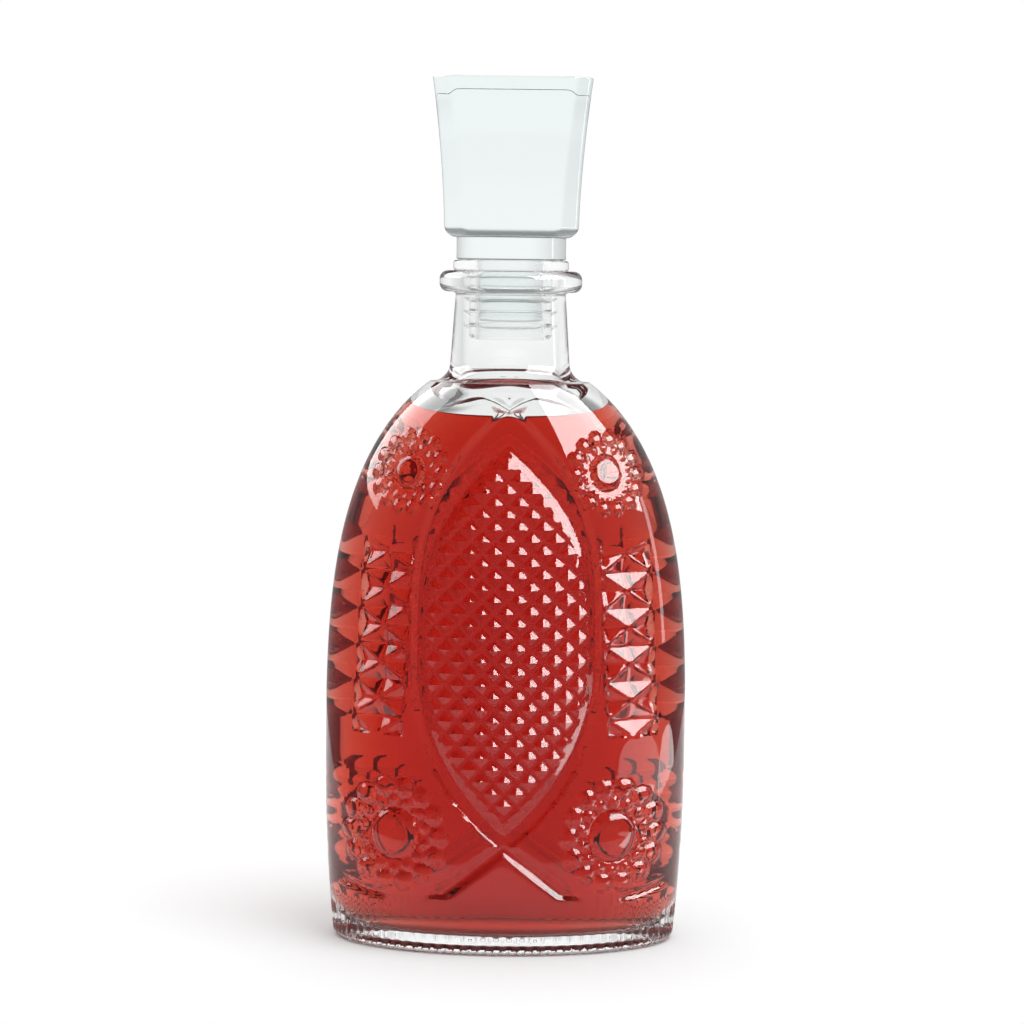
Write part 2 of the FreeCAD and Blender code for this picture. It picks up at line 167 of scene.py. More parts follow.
# Sizes of the sleeve
FLANGE_RADIUS = SLEEVE_HIGH.x
FLANGE_TOP = SLEEVE_HIGH.z
FLANGE_ROUND = 0.8 * MM
PLUG_BOTTOM = SLEEVE_LOW.z
PLUG_CORE_RADIUS = 11.8 * MM
PLUG_CHAMFER = 0.8 * MM
FIN_RADIUS = 13.42 * MM
FIN_COUNT = 3
FIN_PITCH = 4.0 * MM
FIN_THICKNESS = 1.5 * MM
FIN_EDGE = 0.25 * MM
FIN_FIRST_DROP = 7.6 * MM
SLEEVE_BORE = 9.08 * MM

# Sizes of the stopper
SHANK_RADIUS = 9.0 * MM
SHANK_ROUND = 0.6 * MM
SHANK_BOTTOM = STOPPER_LOW.z
STEM_RADIUS = 15.5 * MM
STEM_ROUND = 0.7 * MM
STEM_HEIGHT = 6.6 * MM
HEAD_BOTTOM = FLANGE_TOP + STEM_HEIGHT
HEAD_TOP = STOPPER_HIGH.z
HEAD_TOP_HALF = STOPPER_HIGH.x
HEAD_FOOT_HALF = 18.8 * MM
HEAD_FLARE_POWER = 1.7
HEAD_FOOT_ROUND = 3.0 * MM
HEAD_TOP_ROUND = 0.45 * MM
HEAD_DOME = 0.5 * MM
HEAD_CORNER_FOOT = 0.3
HEAD_CORNER_TOP = 0.22
HEAD_EDGE_POWER = 60
HEAD_SIDES = 8
STEM_GAP = 0.05 * MM

# Values of the materials
GLASS_IOR = 1.5
LIQUID_IOR = 1.36
PLASTIC_IOR = 1.12
BOTTLE_TINT = (0.975, 0.99, 0.987, 1)
STOPPER_TINT = (0.98, 0.99, 0.99, 1)
LIQUID_DENSITY = 128
LIQUID_COLOUR = (0.858, 0.23, 0.09, 1)
STOPPER_DENSITY = 3
STOPPER_COLOUR = (0.2, 0.65, 0.6, 1)
PLASTIC_COLOUR = (0.99, 0.995, 0.995, 1)
PLASTIC_CLEARNESS = 0.97
FLOOR_COLOUR = (0.93, 0.93, 0.93, 1)
CLEAR = (1, 1, 1, 1)

# Noise over each material: the range it is spread from, its detail, and the detail of a waviness
NOISE_LOW = 0.3
NOISE_HIGH = 0.7
NOISE_DETAIL = 3
WAVE_DETAIL = 1.5

# Scale of the noise, then the roughness it runs from and to
GLASS_HAZE = (220, 0.0, 0.03)
PLASTIC_HAZE = (400, 0.02, 0.06)
FLOOR_HAZE = (30, 0.85, 1.0)

# Scale and height of the waviness
GLASS_WAVES = (70, 0.03 * MM)
LIQUID_WAVES = (60, 0.02 * MM)
PLASTIC_WAVES = (900, 0.01 * MM)

# Floor of the stage
STAGE_RADIUS = 0.32
STAGE_SHIFT = (0.02, 0.205)
STAGE_COLUMNS = 96

# Strength of the world, and the parts of a direction between which it fades
WORLD_DIFFUSE = 0.95
WORLD_SIDE = 0.75
WORLD_TOP = 0.3
WORLD_LEFT = 0.85
WORLD_GLOSSY = 0.38
SIDE_FADE = (0.3, 0.92)
TOP_FADE = (0.2, 0.4)
LEFT_FADE = (-0.6, -0.2)

# Softboxes: degrees to the right of the front, degrees up, width, height and radiance
SOFTBOX_DISTANCE = 1.2
SOFTBOX_TARGET = Vector((0, 0, 0.1))
MAIN_SOFTBOX = (66, 32, 1.22, 0.78, 14.0)
SIDE_SOFTBOX = (97, 12, 0.1, 0.7, 4.0)
BACK_SOFTBOX = (246, 32, 1.22, 0.78, 5.0)
LOW_SOFTBOX = (104, -12.5, 0.6, 0.12, 4.0)
HAZE_SOFTBOX = (73, -12.5, 0.85, 0.11, 2.0)
FLOOR_CARD = (0, -90, 0.2, 0.028, 5.0)
FLOOR_CARD_OVER = Vector((0.19, -0.05, 0.1))
FLOOR_CARD_DROP = 0.099

# Key light and camera
KEY_FROM = Vector((0.45, -0.35, 1.0))
KEY_ANGLE = 40
KEY_STRENGTH = 0.9
CAMERA_DISTANCE = 0.844
CAMERA_HEIGHT = 0.188
CAMERA_SHIFT = 1.14 * MM
CAMERA_TILT = math.radians(4.465)
CAMERA_ROLL = math.radians(0.73)
CAMERA_LENS = 104.4
CAMERA_SENSOR = 36

# Bounces of light
MOST_BOUNCES = 24
GLOSSY_BOUNCES = 12
CLAMP = 6

# Fineness of the meshes
POINT_STEPS = 6
MIDDLE_POINTS = 15
SIDE_CELLS = 64
MIDDLE_SHARE = 0.66
THINNING = 4
TURNED_COLUMNS = 128
HEAD_COLUMNS = 384
ARC_STEPS = 6
LINE_STEPS = 4
NECK_STEPS = 8
FLARE_STEPS = 10
UPPER_WALL_ROWS = 6
WALL_ROWS = 48
HEAD_ROWS = 24
STAGE_RINGS = 4

# Degrees between faces over which an edge is a crease
GLASS_CREASE = 30
PLASTIC_CREASE = 35
STOPPER_CREASE = 40

# Where the rows of the flat parts lie, as shares of their size
PUNT_SHARES = (0.3, 0.6, 0.85, 1.0)
SLOPE_SHARES = (0.5, 1.0)
RING_SHARES = (0.7, 0.45)
FLOOR_SHARES = (0.7, 0.35)
SHANK_SHARE = 0.5
HEAD_TOP_SHARES = (0.85, 0.65, 0.4, 0.15)

CELL = POINT_HALF / POINT_STEPS
MIDDLE_CELLS = MIDDLE_POINTS * POINT_STEPS
MIDDLE_REACH = MIDDLE_CELLS * CELL / 2
NORMAL_STEP = CELL / 10


# Outlines of the body

def half_size(z, base, belly, top_radius, top_height):
    """Half the width or depth of the body at height z: a shallow curve below the belly, a dome above it."""
    if z < BELLY_HEIGHT:
        return belly - (belly - base) * ((BELLY_HEIGHT - z) / BELLY_HEIGHT) ** 2
    fall = 1 - (top_radius / belly) ** 2
    reach = (top_height - BELLY_HEIGHT) / fall ** (1 / DOME_POWER)
    return belly * math.sqrt(1 - ((z - BELLY_HEIGHT) / reach) ** DOME_POWER)


def outer_halves(z):
    """Half width and half depth of the glass outside, at height z."""
    halves = []
    for belly in (BELLY_HALF_WIDTH, BELLY_HALF_DEPTH):
        halves.append(half_size(z, belly - BASE_INSET, belly, SHOULDER_RADIUS, SHOULDER_HEIGHT))
    return halves


def inner_halves(z, gap):
    """Half width and half depth of the hollow at height z, drawn in by gap."""
    halves = []
    for outside in (BELLY_HALF_WIDTH, BELLY_HALF_DEPTH):
        belly = outside - WALL
        half = half_size(z, belly - BASE_INSET, belly, INNER_SHOULDER_RADIUS, INNER_SHOULDER_HEIGHT)
        halves.append(half - gap)
    return halves


def ramp(value, low, high):
    """Goes smoothly from 0 at low to 1 at high."""
    share = np.clip((value - low) / (high - low), 0, 1)
    return share * share * (3 - 2 * share)


# Relief on the body, as heights over the plain surface

def pointed_oval(z, middle, rise, drop, half_width, power):
    """Half width of a pointed oval at height z, and its slope. Past the tips it runs on straight, below 0."""
    reach = np.where(z > middle, rise, drop)
    share = np.abs(z - middle) / reach
    inside = 1 - share ** power
    outside = power * (1 - share)
    width = half_width * np.where(share < 1, inside, outside)
    slope = half_width * power / reach * np.minimum(share, 1) ** (power - 1)
    return width, slope


def diamond_points(x, z):
    """Height of the field of diamond points: pyramids with a corner up, down, left and right."""
    rising = (x + z - OVAL_MIDDLE) / POINT_HALF
    falling = (x - z + OVAL_MIDDLE) / POINT_HALF
    off_rising = np.abs(rising - 2 * np.round(rising / 2))
    off_falling = np.abs(falling - 2 * np.round(falling / 2))
    return POINT_RISE * (1 - np.maximum(off_rising, off_falling)) ** POINT_POWER


def notch(distance, half, depth):
    """Height of a V-shaped groove with a soft bottom, at a distance from its middle."""
    soft = np.sqrt(distance ** 2 + GROOVE_ROUND ** 2) - GROOVE_ROUND
    return -depth * np.clip(1 - soft / half, 0, 1)


def oval_relief(x, z):
    """The field of points in its recess, the step along the oval, and the grooves past its tips."""
    width, slope = pointed_oval(z, OVAL_MIDDLE, OVAL_RISE, OVAL_DROP, OVAL_HALF_WIDTH, OVAL_POWER)
    field, field_slope = pointed_oval(
        z, FIELD_MIDDLE, FIELD_HALF_HEIGHT, FIELD_HALF_HEIGHT, FIELD_HALF_WIDTH, FIELD_POWER)
    in_oval = (width - x) / np.sqrt(1 + slope ** 2)
    in_field = (field - x) / np.sqrt(1 + field_slope ** 2)
    bevel = np.maximum(BEVEL_SLOPE * in_field, -RECESS)
    pressed = np.where(in_field > 0, np.minimum(bevel, diamond_points(x, z)), bevel)
    distance = np.abs(x - np.abs(width)) / np.sqrt(1 + slope ** 2)
    step = notch(distance, STEP_WIDTH, RECESS)
    arm = notch(distance, ARM_HALF, ARM_DEPTH)
    ends = ramp(z - ARM_FOOT, -ARM_END, ARM_END) * ramp(GROOVE_TOP - z, -ARM_HALF, ARM_HALF)
    return np.where(in_oval > 0, pressed, np.where(width > 0, step, arm) * ends)


def swag_relief(x, z):
    """A groove under the lower rosette that rises towards the side."""
    past = np.maximum(x - SWAG_START, 0) / (SWAG_END - SWAG_START)
    line = SWAG_LOW + SWAG_LIFT * past ** 2
    ends = ramp(x, SWAG_START, SWAG_START + 2 * SWAG_HALF) * ramp(SWAG_END - x, 0, 2 * SWAG_HALF)
    return notch(z - line, SWAG_HALF, SWAG_DEPTH) * ends


def cut_relief(x, z):
    """A column of hollow rhombic cuts, whole in the middle and halved at its sides."""
    across = x - CUT_MIDDLE - CUT_SLANT * (z - OVAL_MIDDLE)
    down = CUT_TOP - z
    depth = np.zeros_like(x)
    for shift_across, shift_down, top in CUT_SETS:
        beside = np.abs(across - shift_across)
        beside = (np.sqrt(beside ** 2 + CUT_ROUND ** 2) - CUT_ROUND) / CUT_HALF_WIDTH
        turns = down / CUT_PITCH - shift_down
        above = 2 * np.abs(turns - np.round(turns))
        started = ramp(down - top * CUT_PITCH, 0, CUT_EDGE - top * CUT_PITCH)
        depth = np.maximum(depth, (1 - beside - above) * started)
    inside = ramp(CUT_HALF_WIDTH - np.abs(across), 0, CUT_EDGE)
    inside = inside * ramp(CUT_COUNT * CUT_PITCH - down, 0, CUT_EDGE)
    return -CUT_DEPTH * depth * inside


def surface_frame(x, z):
    """Directions along and up the front of the body at (x, z), each one unit long."""
    width, depth = outer_halves(z)
    y = -depth * math.sqrt(1 - (x / width) ** 2)
    out = body_normals(np.array([[x, y, z]]), z)[0]
    along = np.cross((0, 0, 1), out)
    along = along / np.linalg.norm(along)
    upward = np.cross(out, along)
    return along, upward


def rosette_relief(x, z, middle_x, middle_z, radius, button_radius, button_rise, button_power):
    """A button in a moat, with a ring of beads and a ring of rounded petals round it."""
    along, upward = surface_frame(middle_x, middle_z)
    v = (z - middle_z) / upward[2]
    u = (x - middle_x - upward[0] * v) / along[0]
    distance = np.sqrt(u ** 2 + v ** 2)
    turns = np.arctan2(v, u) * PETAL_COUNT / (2 * math.pi)

    def drops(shift, place, half_length, half_width, rise):
        offset = turns - shift
        angle = (offset - np.round(offset)) * 2 * math.pi / PETAL_COUNT
        outward = (distance * np.cos(angle) - place) / half_length
        beside = distance * np.sin(angle) / half_width
        return rise * np.clip(1 - outward ** 2 - beside ** 2, 0, 1) ** DROP_POWER

    place = radius * PETAL_PLACE
    half_width = math.pi * place / PETAL_COUNT * PETAL_FULLNESS
    petals = drops(0, place, radius * PETAL_HALF_LENGTH, half_width, PETAL_RISE)
    beads = drops(0.5, radius * BEAD_PLACE, radius * BEAD_HALF, radius * BEAD_HALF, BEAD_RISE)
    button = button_rise * np.sqrt(np.clip(1 - (distance / button_radius) ** button_power, 0, 1))
    moat = -MOAT_DEPTH * ramp(MOAT_WIDTH - np.abs(distance - button_radius), 0, MOAT_WIDTH)
    return np.maximum(np.maximum(petals, beads), button) + moat * (distance > button_radius)


def flute_relief(points, z):
    """Upright flutes round the heel, strongest at the sides."""
    width, depth = outer_halves(z)
    angle = np.arctan2(points[:, 0] / width, -points[:, 1] / depth)
    side = ramp(FLUTE_TOP - z, 0, FLUTE_FADE) * ramp(np.abs(points[:, 0]), 0, FLUTE_FRONT)
    fade = np.maximum(side, ramp(HEEL_FLUTE_TOP - z, 0, HEEL_RADIUS))
    return FLUTE_RISE * (np.cos(FLUTE_COUNT * angle) - 1) / 2 * fade


def body_relief(points, z):
    """Height of all the relief at the points of one row, the same left and right and front and back."""
    x = np.abs(points[:, 0])
    level = np.full_like(x, z)
    height = oval_relief(x, level) + swag_relief(x, level) + cut_relief(x, level)
    for rosette in (UPPER_ROSETTE, LOWER_ROSETTE):
        height = height + rosette_relief(x, level, *rosette)
    return height + flute_relief(points, z)


def body_normals(points, z):
    """The directions straight out of the body at the points of one row."""
    width, depth = outer_halves(z)
    wide_above, deep_above = outer_halves(z + NORMAL_STEP)
    width_slope = (wide_above - width) / NORMAL_STEP
    depth_slope = (deep_above - depth) / NORMAL_STEP
    x, y = points[:, 0], points[:, 1]
    tilt = x ** 2 * width_slope / width ** 3 + y ** 2 * depth_slope / depth ** 3
    normals = np.stack([x / width ** 2, y / depth ** 2, -tilt], axis=1)
    return normals / np.linalg.norm(normals, axis=1, keepdims=True)


# Rows of points and the meshes made from them

def front_columns(half_width):
    """X of the columns across the front: evenly spaced in the middle, by angle at the sides."""
    reach = min(MIDDLE_REACH, MIDDLE_SHARE * half_width)
    middle = np.linspace(-reach, reach, MIDDLE_CELLS + 1)
    angles = np.linspace(math.asin(reach / half_width), math.pi / 2, SIDE_CELLS + 1)[1:]
    side = half_width * np.sin(angles)
    return np.concatenate([-side[::-1], middle, side])


def oval_row(half_width, half_depth, z):
    """A closed row of points round an oval, from the left over the front to the right and back."""
    x = front_columns(half_width)
    y = -half_depth * np.sqrt(np.maximum(0, 1 - (x / half_width) ** 2))
    front = np.stack([x, y, np.full_like(x, z)], axis=1)
    back = front[-2:0:-1] * (1, -1, 1)
    return np.concatenate([front, back])


def arc(centre_r, centre_z, radius, start, end, steps=ARC_STEPS):
    """Points (r, z) along an arc between two angles in degrees."""
    angles = np.radians(np.linspace(start, end, steps + 1))
    return [(centre_r + radius * math.cos(t), centre_z + radius * math.sin(t)) for t in angles]


def sweep_in(radius, height, foot_radius, foot_height, steps):
    """Points (r, z) of a round sweep from a wider foot up to an upright wall at (radius, height)."""
    run = foot_radius - radius
    drop = height - foot_height
    curve = (run ** 2 + drop ** 2) / (2 * run)
    end = 180 + math.degrees(math.asin(drop / curve))
    if run > curve:
        end = 360 - math.degrees(math.asin(drop / curve))
    return arc(radius + curve, height, curve, end, 180, steps)


def between(first, last, steps):
    """Points (r, z) on a straight line, both ends included."""
    return [tuple(p) for p in np.linspace(first, last, steps + 1)]


def join_rows(rows):
    """Points and faces of a closed skin: rows joined one to the next, with a middle point at each end."""
    points = np.concatenate([rows[0].mean(axis=0)[None]] + rows + [rows[-1].mean(axis=0)[None]])
    faces = []
    owners = []
    start = 1
    count = len(rows[0])
    for i in range(count):
        faces.append((0, start + (i + 1) % count, start + i))
        owners.append(-1)
    for number, (low, high) in enumerate(zip(rows, rows[1:])):
        above = start + len(low)
        made = row_faces(start, len(low), above, len(high))
        faces += made
        owners += [number] * len(made)
        start = above
    count = len(rows[-1])
    last = len(points) - 1
    for i in range(count):
        faces.append((start + i, start + (i + 1) % count, last))
        owners.append(len(rows) - 1)
    return points, faces, owners


def row_faces(low, low_count, high, high_count):
    """Faces between two rows, which may have different numbers of points."""
    if low_count == high_count:
        return [(low + i, low + (i + 1) % low_count, high + (i + 1) % low_count, high + i)
                for i in range(low_count)]
    faces = []
    if low_count > high_count:
        share = low_count // high_count
        for i in range(high_count):
            below = [low + (i * share + k) % low_count for k in range(share + 1)]
            faces.append((*below, high + (i + 1) % high_count, high + i))
        return faces
    share = high_count // low_count
    for i in range(low_count):
        above = [high + (i * share + k) % high_count for k in range(share, -1, -1)]
        faces.append((low + i, low + (i + 1) % low_count, *above))
    return faces


def split_on_valleys(points, faces):
    """Splits the four-cornered faces of the field of points along the valleys between the points."""
    made = []
    for face in faces:
        if len(face) != 4:
            made.append(face)
            continue
        x = (points[face[0]][0] + points[face[1]][0]) / 2
        z = (points[face[0]][2] + points[face[3]][2]) / 2
        if abs(x) > MIDDLE_REACH or abs(z - FIELD_MIDDLE) > FIELD_HALF_HEIGHT:
            made.append(face)
            continue
        even = (math.floor(x / POINT_HALF) + math.floor((z - OVAL_MIDDLE) / POINT_HALF)) % 2 == 0
        rightward = points[face[1]][0] > points[face[0]][0]
        a, b, c, d = face
        if even == rightward:
            made += [(a, b, d), (b, c, d)]
        else:
            made += [(a, b, c), (a, c, d)]
    return made


def new_piece(name, points, faces, materials, sharp_angle):
    """A smooth-shaded mesh object with creases where its faces meet at more than an angle in degrees."""
    mesh = bpy.data.meshes.new(name)
    mesh.from_pydata([tuple(p) for p in points], [], [tuple(f) for f in faces])
    for material in materials:
        mesh.materials.append(material)
    mesh.shade_smooth()
    mesh.set_sharp_from_angle(angle=math.radians(sharp_angle))
    mesh.update()
    piece = bpy.data.objects.new(name, mesh)
    bpy.context.scene.collection.objects.link(piece)
    return piece


# Bottle

def foot_rows():
    """Rows from the middle of the hollow under the base to the top of the heel."""
    base_width, base_depth = outer_halves(0)
    heel_width, heel_depth = outer_halves(HEEL_RADIUS)
    rows = []
    inset = FOOT_RING + PUNT_SLOPE
    for share in PUNT_SHARES:
        row = oval_row((base_width - inset) * share, (base_depth - inset) * share, PUNT_DEPTH)
        rows.append(row[::THINNING])
    for share in SLOPE_SHARES:
        inset = FOOT_RING + PUNT_SLOPE * (1 - share)
        rows.append(oval_row(base_width - inset, base_depth - inset, PUNT_DEPTH * (1 - share)))
    flat = len(rows)
    for share in RING_SHARES:
        inset = share * FOOT_RING
        rows.append(oval_row(base_width - inset, base_depth - inset, 0))
    for step in range(ARC_STEPS):
        turn = math.pi / 2 * step / ARC_STEPS
        inset = HEEL_RADIUS * (1 - math.sin(turn))
        rows.append(oval_row(heel_width - inset, heel_depth - inset, HEEL_RADIUS * (1 - math.cos(turn))))
    knurl = np.abs((np.arange(len(rows[-1])) % THINNING) - THINNING / 2) / (THINNING / 2)
    for row in rows[flat:-KNURL_FADE_ROWS]:
        row[:, 2] += KNURL_RISE * knurl
    return rows


def body_rows():
    """Rows of the pressed body, in step with the field of points, up to the shoulder."""
    first = math.ceil((HEEL_RADIUS - OVAL_MIDDLE) / CELL)
    last = math.floor((SHOULDER_HEIGHT - OVAL_MIDDLE) / CELL)
    rows = []
    for index in range(first, last + 1):
        z = OVAL_MIDDLE + index * CELL
        row = oval_row(*outer_halves(z), z)
        rows.append(row + body_normals(row, z) * body_relief(row, z)[:, None])
    return rows


def neck_rows():
    """Rows of the shoulder's crease, the neck and the lip, outside."""
    profile = sweep_in(NECK_FOOT_RADIUS, NECK_FOOT_HEIGHT, SHOULDER_RADIUS, SHOULDER_HEIGHT, NECK_STEPS)
    neck_foot = (NECK_FOOT_RADIUS, NECK_FOOT_HEIGHT)
    neck_top = (NECK_TOP_RADIUS, LIP_BOTTOM - LIP_CORNER)
    profile += between(neck_foot, neck_top, NECK_STEPS)[1:]
    profile += arc(NECK_TOP_RADIUS + LIP_CORNER, LIP_BOTTOM - LIP_CORNER, LIP_CORNER, 180, 90)[1:]
    profile += arc(LIP_RADIUS - LIP_ROUND, LIP_BOTTOM + LIP_ROUND, LIP_ROUND, -90, 0)
    profile += arc(LIP_RADIUS - LIP_ROUND, LIP_TOP - LIP_ROUND, LIP_ROUND, 0, 90)
    return [oval_row(r, r, z) for r, z in profile]


def bore_rows():
    """Rows from the top of the lip down the bore and the flare below it."""
    mouth = BORE_RADIUS + LIP_INNER_ROUND
    profile = between((LIP_RADIUS - LIP_ROUND, LIP_TOP), (mouth, LIP_TOP), LINE_STEPS)[1:]
    profile += arc(mouth, LIP_TOP - LIP_INNER_ROUND, LIP_INNER_ROUND, 90, 180)[1:]
    bore_top = (BORE_RADIUS, LIP_TOP - LIP_INNER_ROUND)
    bore_foot = (BORE_RADIUS, BORE_FOOT_HEIGHT)
    profile += between(bore_top, bore_foot, NECK_STEPS)[1:]
    flare = sweep_in(*bore_foot, INNER_SHOULDER_RADIUS, INNER_SHOULDER_HEIGHT, FLARE_STEPS)
    profile += flare[-2::-1]
    return [oval_row(r, r, z)[::THINNING] for r, z in profile]


def hollow_rows(top, gap):
    """Rows of the hollow, drawn in by gap, from a height down to the middle of the floor."""
    floor = FLOOR_HEIGHT + gap
    round_top = floor + FLOOR_CURVE
    rows = []
    for share in np.linspace(0, 1, WALL_ROWS, endpoint=False):
        z = top - (top - round_top) * share
        rows.append(oval_row(*inner_halves(z, gap), z)[::THINNING])
    width, depth = inner_halves(round_top, gap)
    for turn in np.radians(np.linspace(0, 90, 2 * ARC_STEPS + 1)):
        inset = FLOOR_CURVE * (1 - math.cos(turn))
        row = oval_row(width - inset, depth - inset, round_top - FLOOR_CURVE * math.sin(turn))
        rows.append(row[::THINNING])
    for share in FLOOR_SHARES:
        row = oval_row((width - FLOOR_CURVE) * share, (depth - FLOOR_CURVE) * share, floor)
        rows.append(row[::THINNING])
    return rows


def make_bottle():
    """The pressed glass: outside, lip and hollow as one closed skin. The wetted wall has its own material."""
    dry = foot_rows() + body_rows() + neck_rows() + bore_rows()
    upper_wall = []
    for z in np.linspace(INNER_SHOULDER_HEIGHT, LIQUID_LEVEL + MENISCUS_RISE, UPPER_WALL_ROWS)[1:-1]:
        upper_wall.append(oval_row(*inner_halves(z, 0), z)[::THINNING])
    rows = dry + upper_wall + hollow_rows(LIQUID_LEVEL + MENISCUS_RISE, 0)
    wet_from = len(dry) + len(upper_wall)
    points, faces, owners = join_rows(rows)
    wet = [face for face, owner in zip(faces, owners) if owner >= wet_from]
    bare = [face for face, owner in zip(faces, owners) if owner < wet_from]
    bare = split_on_valleys(points, bare)
    piece = new_piece("bottle_glass", points, bare + wet, [bottle_glass(), wetted_glass()], GLASS_CREASE)
    slots = [0] * len(bare) + [1] * len(wet)
    piece.data.polygons.foreach_set("material_index", slots)
    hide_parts("bottle")
    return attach(piece, "bottle")


# Liquid

def make_liquid():
    """The liquid, with a meniscus where its surface meets the glass."""
    wall = hollow_rows(LIQUID_LEVEL + MENISCUS_RISE, LIQUID_GAP)[::-1]
    width, depth = inner_halves(LIQUID_LEVEL + MENISCUS_RISE, LIQUID_GAP)
    top = []
    for inset in MENISCUS_INSETS:
        z = LIQUID_LEVEL + MENISCUS_RISE * math.exp(-inset / MENISCUS_REACH)
        top.append(oval_row(width - inset, depth - inset, z)[::THINNING])
    points, faces, owners = join_rows(wall + top)
    piece = new_piece("red_liquid", points, faces, [red_liquid()], GLASS_CREASE)
    free = [1.0 if owner >= len(wall) - 1 else 0.0 for owner in owners]
    mask = piece.data.attributes.new("free_surface", "FLOAT", "FACE")
    mask.data.foreach_set("value", free)
    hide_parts("liquid_fill")
    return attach(piece, "bottle")


# Sleeve

def turned_row(r, z, columns):
    """A closed row of points round the upright axis."""
    angles = np.linspace(0, 2 * math.pi, columns, endpoint=False)
    return np.stack([r * np.cos(angles), r * np.sin(angles), np.full_like(angles, z)], axis=1)


def sleeve_profile():
    """Points (r, z) up the outside of the sleeve and down its bore."""
    profile = [(PLUG_CORE_RADIUS - PLUG_CHAMFER, PLUG_BOTTOM), (PLUG_CORE_RADIUS, PLUG_BOTTOM + PLUG_CHAMFER)]
    for index in reversed(range(FIN_COUNT)):
        top = LIP_TOP - FIN_FIRST_DROP - FIN_PITCH * index
        profile += [(PLUG_CORE_RADIUS, top - FIN_THICKNESS), (FIN_RADIUS - FIN_EDGE, top - FIN_EDGE)]
        profile += [(FIN_RADIUS, top - FIN_EDGE / 2), (FIN_RADIUS - FIN_EDGE, top), (PLUG_CORE_RADIUS, top)]
    profile += [(PLUG_CORE_RADIUS, LIP_TOP)]
    profile += arc(FLANGE_RADIUS - FLANGE_ROUND, LIP_TOP + FLANGE_ROUND, FLANGE_ROUND, -90, 0)
    profile += arc(FLANGE_RADIUS - FLANGE_ROUND, FLANGE_TOP - FLANGE_ROUND, FLANGE_ROUND, 0, 90)
    profile += [(SLEEVE_BORE + FIN_EDGE, FLANGE_TOP), (SLEEVE_BORE, FLANGE_TOP - FIN_EDGE)]
    profile += [(SLEEVE_BORE, PLUG_BOTTOM)]
    return profile


def make_sleeve():
    """The plastic sleeve: a flange on the lip and a finned plug in the neck."""
    rows = [turned_row(r, z, TURNED_COLUMNS) for r, z in sleeve_profile()]
    points = np.concatenate(rows)
    faces = []
    for number in range(len(rows)):
        low = number * TURNED_COLUMNS
        high = (number + 1) % len(rows) * TURNED_COLUMNS
        faces += row_faces(low, TURNED_COLUMNS, high, TURNED_COLUMNS)
    piece = new_piece("seal_sleeve_plastic", points, faces, [seal_plastic()], PLASTIC_CREASE)
    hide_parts("seal_sleeve")
    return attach(piece, "sleeve")


# Stopper

def head_row(z, half, corner):
    """A closed row round a square with cut corners, its edges slightly rounded."""
    angles = np.linspace(0, 2 * math.pi, HEAD_COLUMNS, endpoint=False)
    total = np.zeros_like(angles)
    for turn in range(HEAD_SIDES):
        distance = half if turn % 2 == 0 else half * (2 - corner) / math.sqrt(2)
        facing = np.maximum(np.cos(angles - turn * 2 * math.pi / HEAD_SIDES), 0) / distance
        total += facing ** HEAD_EDGE_POWER
    r = total ** (-1 / HEAD_EDGE_POWER)
    return np.stack([r * np.cos(angles), r * np.sin(angles), np.full_like(angles, z)], axis=1)


def head_rows():
    """Rows of the flared head, from its rounded foot to its top."""
    rows = []
    height = HEAD_TOP - HEAD_BOTTOM

    def half_at(z):
        share = max(0, (z - HEAD_BOTTOM) / height)
        return HEAD_FOOT_HALF + (HEAD_TOP_HALF - HEAD_FOOT_HALF) * share ** HEAD_FLARE_POWER

    def corner_at(z):
        return HEAD_CORNER_FOOT + (HEAD_CORNER_TOP - HEAD_CORNER_FOOT) * (z - HEAD_BOTTOM) / height

    for turn in np.radians(np.linspace(0, 90, ARC_STEPS + 1)):
        z = HEAD_BOTTOM + HEAD_FOOT_ROUND * (1 - math.cos(turn))
        rows.append(head_row(z, half_at(z) - HEAD_FOOT_ROUND * (1 - math.sin(turn)), corner_at(z)))
    for z in np.linspace(HEAD_BOTTOM + HEAD_FOOT_ROUND, HEAD_TOP - HEAD_DOME - HEAD_TOP_ROUND, HEAD_ROWS)[1:]:
        rows.append(head_row(z, half_at(z), corner_at(z)))
    for turn in np.radians(np.linspace(0, 90, ARC_STEPS + 1))[1:]:
        z = HEAD_TOP - HEAD_DOME - HEAD_TOP_ROUND * (1 - math.sin(turn))
        rows.append(head_row(z, half_at(z) - HEAD_TOP_ROUND * (1 - math.cos(turn)), corner_at(z)))
    for share in HEAD_TOP_SHARES:
        z = HEAD_TOP - HEAD_DOME * share ** 2
        rows.append(head_row(z, (HEAD_TOP_HALF - HEAD_TOP_ROUND) * share, HEAD_CORNER_TOP))
    return rows


def make_stopper():
    """The glass stopper: shank, round stem and flared eight-sided head."""
    profile = [(SHANK_RADIUS * SHANK_SHARE, SHANK_BOTTOM)]
    profile += arc(SHANK_RADIUS - SHANK_ROUND, SHANK_BOTTOM + SHANK_ROUND, SHANK_ROUND, -90, 0)
    foot = FLANGE_TOP + STEM_GAP
    profile += between((SHANK_RADIUS, SHANK_BOTTOM + SHANK_ROUND), (SHANK_RADIUS, foot), LINE_STEPS)[1:]
    profile += arc(STEM_RADIUS - STEM_ROUND, foot + STEM_ROUND, STEM_ROUND, -90, 0)
    profile += between((STEM_RADIUS, foot + STEM_ROUND), (STEM_RADIUS, HEAD_BOTTOM), LINE_STEPS)[1:]
    rows = [turned_row(r, z, HEAD_COLUMNS) for r, z in profile] + head_rows()
    points, faces, _ = join_rows(rows)
    piece = new_piece("stopper_glass", points, faces, [stopper_glass()], STOPPER_CREASE)
    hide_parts("stopper")
    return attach(piece, "stopper")


# Materials

